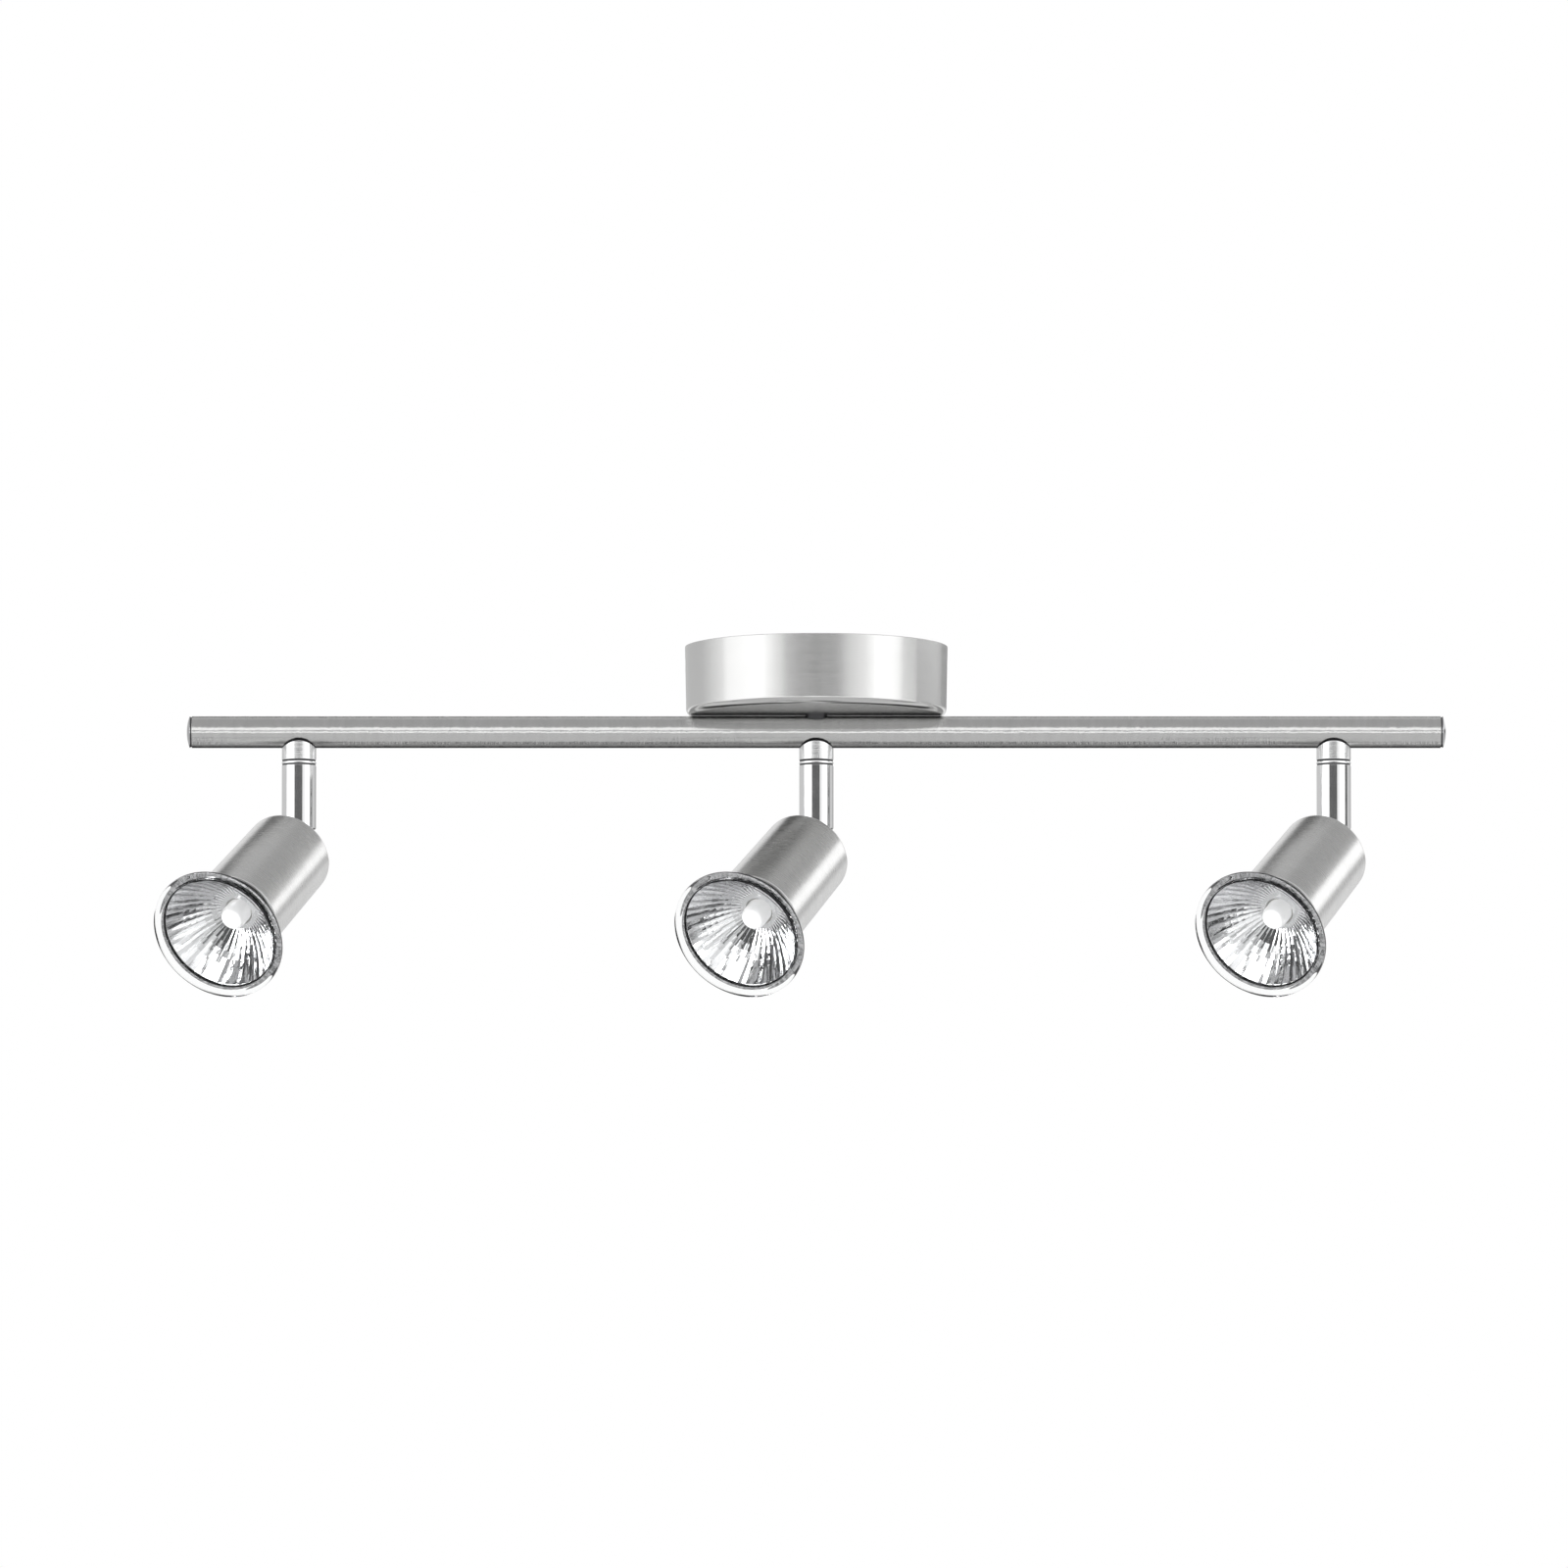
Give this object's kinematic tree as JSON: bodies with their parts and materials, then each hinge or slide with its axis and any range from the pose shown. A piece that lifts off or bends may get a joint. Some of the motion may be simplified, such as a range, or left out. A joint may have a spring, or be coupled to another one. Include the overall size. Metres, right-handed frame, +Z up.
{
  "type": "track lighting fixture",
  "caption": "Ceiling spotlight bar: round canopy over a brushed tube that carries swivelling cylinder spot heads with reflector lamps; heads pan on stems, tilt and release lamps by a twist.",
  "frame": {"origin": "centre of the ceiling plane, at the middle of the bracket's two slots", "axes": "+X along the bar, +Z up into the ceiling, front faces -Y"},
  "size_m": [0.4706, 0.1192, 0.1324],
  "materials": {
    "satin_nickel": "satin brushed nickel",
    "polished_chrome": "polished chrome",
    "zinc_steel": "zinc-plated steel",
    "turned_brass": "turned brass",
    "block_plastic": "moulded insulating plastic",
    "lead_sleeve": "woven heat-proof sleeve",
    "ceramic": "unglazed white ceramic",
    "pin_metal": "plated pins",
    "reflector_mirror": "metal-coated faceted glass",
    "clear_glass": "clear glass",
    "frosted_glass": "frosted glass"
  },
  "bodies": {
    "fixture": {"canopy": "satin_nickel", "mounting_bracket": "zinc_steel", "canopy_screws": "zinc_steel", "bracket_screws": "zinc_steel", "terminal_block": "block_plastic", "terminal_screws": "turned_brass", "bar_tube": "satin_nickel", "bar_stub": "satin_nickel", "stub_nut_and_washer": "zinc_steel", "end_cap_left": "polished_chrome", "end_cap_right": "polished_chrome", "lamp_leads": "lead_sleeve", "swivel_studs": "turned_brass", "swivel_rings": "polished_chrome", "stud_nuts_and_washers": "zinc_steel", "collar_left": "polished_chrome", "collar_middle": "polished_chrome", "collar_right": "polished_chrome"},
    "stem_body_left": {"stem_left": "polished_chrome", "swivel_fork_left": "polished_chrome", "pivot_fasteners_left": "zinc_steel"},
    "head_body_left": {"swivel_tongue_left": "polished_chrome", "head_shell_left": "satin_nickel", "holder_bracket_left": "zinc_steel", "lampholder_left": "ceramic", "head_fasteners_left": "zinc_steel", "head_leads_left": "lead_sleeve"},
    "lamp_body_left": {"lamp_base_left": "ceramic", "lamp_pins_left": "pin_metal", "lamp_reflector_left": "reflector_mirror", "lamp_cover_glass_left": "clear_glass", "lamp_burner_left": "frosted_glass"},
    "stem_body_middle": {"stem_middle": "polished_chrome", "swivel_fork_middle": "polished_chrome", "pivot_fasteners_middle": "zinc_steel"},
    "head_body_middle": {"swivel_tongue_middle": "polished_chrome", "head_shell_middle": "satin_nickel", "holder_bracket_middle": "zinc_steel", "lampholder_middle": "ceramic", "head_fasteners_middle": "zinc_steel", "head_leads_middle": "lead_sleeve"},
    "lamp_body_middle": {"lamp_base_middle": "ceramic", "lamp_pins_middle": "pin_metal", "lamp_reflector_middle": "reflector_mirror", "lamp_cover_glass_middle": "clear_glass", "lamp_burner_middle": "frosted_glass"},
    "stem_body_right": {"stem_right": "polished_chrome", "swivel_fork_right": "polished_chrome", "pivot_fasteners_right": "zinc_steel"},
    "head_body_right": {"swivel_tongue_right": "polished_chrome", "head_shell_right": "satin_nickel", "holder_bracket_right": "zinc_steel", "lampholder_right": "ceramic", "head_fasteners_right": "zinc_steel", "head_leads_right": "lead_sleeve"},
    "lamp_body_right": {"lamp_base_right": "ceramic", "lamp_pins_right": "pin_metal", "lamp_reflector_right": "reflector_mirror", "lamp_cover_glass_right": "clear_glass", "lamp_burner_right": "frosted_glass"}
  },
  "joints": [
    {"name": "pan_left", "type": "hinge", "parent": "fixture", "child": "stem_body_left", "pos_m": [-0.189, 0, -0.07195], "axis": [0, 0, 1], "range_deg": [-175, 175]},
    {"name": "tilt_left", "type": "hinge", "parent": "stem_body_left", "child": "head_body_left", "pos_m": [-0.189, 0, -0.07195], "axis": [0.8862, -0.4633, 0], "range_deg": [-32.6, 57.4]},
    {"name": "lamp_twist_left", "type": "hinge", "parent": "head_body_left", "child": "lamp_body_left", "pos_m": [-0.189, 0, -0.07195], "axis": [-0.3903, -0.7466, -0.5388], "range_deg": [0, 30]},
    {"name": "pan_middle", "type": "hinge", "parent": "fixture", "child": "stem_body_middle", "pos_m": [0, 0, -0.07195], "axis": [0, 0, 1], "range_deg": [-175, 175]},
    {"name": "tilt_middle", "type": "hinge", "parent": "stem_body_middle", "child": "head_body_middle", "pos_m": [0, 0, -0.07195], "axis": [0.8862, -0.4633, 0], "range_deg": [-32.6, 57.4]},
    {"name": "lamp_twist_middle", "type": "hinge", "parent": "head_body_middle", "child": "lamp_body_middle", "pos_m": [0, 0, -0.07195], "axis": [-0.3903, -0.7466, -0.5388], "range_deg": [0, 30]},
    {"name": "pan_right", "type": "hinge", "parent": "fixture", "child": "stem_body_right", "pos_m": [0.189, 0, -0.07195], "axis": [0, 0, 1], "range_deg": [-175, 175]},
    {"name": "tilt_right", "type": "hinge", "parent": "stem_body_right", "child": "head_body_right", "pos_m": [0.189, 0, -0.07195], "axis": [0.8862, -0.4633, 0], "range_deg": [-32.6, 57.4]},
    {"name": "lamp_twist_right", "type": "hinge", "parent": "head_body_right", "child": "lamp_body_right", "pos_m": [0.189, 0, -0.07195], "axis": [-0.3903, -0.7466, -0.5388], "range_deg": [0, 30]}
  ]
}
